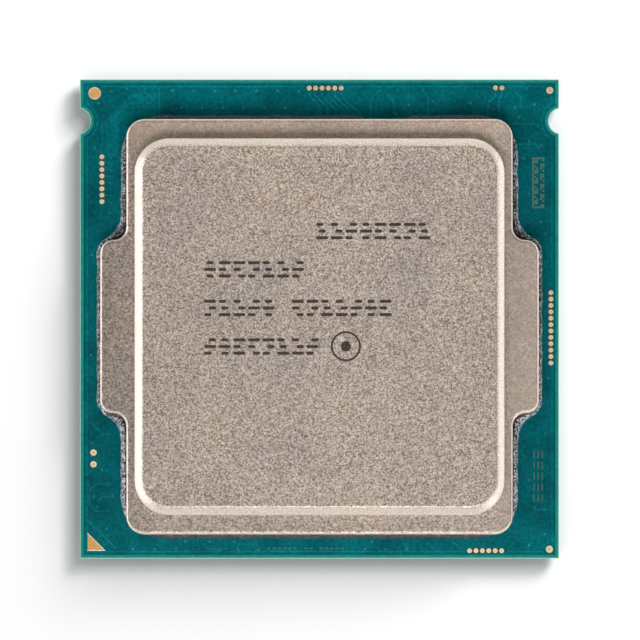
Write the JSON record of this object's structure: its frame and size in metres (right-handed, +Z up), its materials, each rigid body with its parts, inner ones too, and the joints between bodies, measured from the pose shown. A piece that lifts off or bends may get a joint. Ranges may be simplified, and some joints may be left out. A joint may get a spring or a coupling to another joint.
{
  "type": "desktop processor",
  "caption": "Square desktop processor package: nickel-plated lid with two side ears over a die on a notched green substrate, with gold lands and small capacitors beneath.",
  "frame": {"origin": "centre of the square substrate in X and Y, on the plane of the lower faces of the capacitors under it, which are the lowest faces of the part", "axes": "+Z up through the lid's top face; +Y towards the edge that the two key notches are nearest to; +X to the right with the pin 1 triangle at the lower left corner"},
  "size_m": [0.0376, 0.0376, 0.0049],
  "materials": {
    "nickel_plate": "satin nickel plate, fine grain, rubbed bright along its edges",
    "silicone_sealant": "glossy black silicone",
    "solder_mask": "satin teal-green resin",
    "laminate": "bare blue-green laminate",
    "core_laminate": "sawn glass-fibre laminate",
    "gold_pads": "gold plate",
    "gold_lands": "bright gold plate",
    "silicon": "polished silicon",
    "solder": "dull tin solder",
    "underfill": "dark epoxy",
    "thermal_paste": "grey paste",
    "capacitor_ceramic": "brown ceramic with tinned ends"
  },
  "bodies": {
    "root": {"heat_spreader_lid": "nickel_plate", "lid_sealant_bead": "silicone_sealant", "top_solder_mask": "solder_mask", "bottom_solder_mask": "solder_mask", "top_buildup_layer": "laminate", "bottom_buildup_layer": "laminate", "substrate_core": "core_laminate", "land_array": "gold_lands", "silicon_die": "silicon", "die_solder_bumps": "solder", "die_underfill": "underfill", "thermal_interface_paste": "thermal_paste", "pin_1_triangle": "gold_pads", "fiducial_top_left": "gold_pads", "fiducial_top_right": "gold_pads", "fiducial_bottom_right": "gold_pads", "probe_pad_left_upper": "gold_pads", "probe_pad_left_lower": "gold_pads", "test_pad_row_left": "gold_pads", "test_pad_row_top": "gold_pads", "test_pad_row_top_right": "gold_pads", "test_pad_row_right": "gold_pads", "test_pad_row_bottom": "gold_pads", "land_side_capacitor_01": "capacitor_ceramic", "land_side_capacitor_02": "capacitor_ceramic", "land_side_capacitor_03": "capacitor_ceramic", "land_side_capacitor_04": "capacitor_ceramic", "land_side_capacitor_05": "capacitor_ceramic", "land_side_capacitor_06": "capacitor_ceramic", "land_side_capacitor_07": "capacitor_ceramic", "land_side_capacitor_08": "capacitor_ceramic", "land_side_capacitor_09": "capacitor_ceramic", "land_side_capacitor_10": "capacitor_ceramic", "land_side_capacitor_11": "capacitor_ceramic", "land_side_capacitor_12": "capacitor_ceramic", "land_side_capacitor_13": "capacitor_ceramic", "land_side_capacitor_14": "capacitor_ceramic", "land_side_capacitor_15": "capacitor_ceramic", "land_side_capacitor_16": "capacitor_ceramic", "land_side_capacitor_17": "capacitor_ceramic", "land_side_capacitor_18": "capacitor_ceramic", "land_side_capacitor_19": "capacitor_ceramic", "land_side_capacitor_20": "capacitor_ceramic", "land_side_capacitor_21": "capacitor_ceramic", "land_side_capacitor_22": "capacitor_ceramic", "land_side_capacitor_23": "capacitor_ceramic", "land_side_capacitor_24": "capacitor_ceramic"}
  },
  "joints": []
}
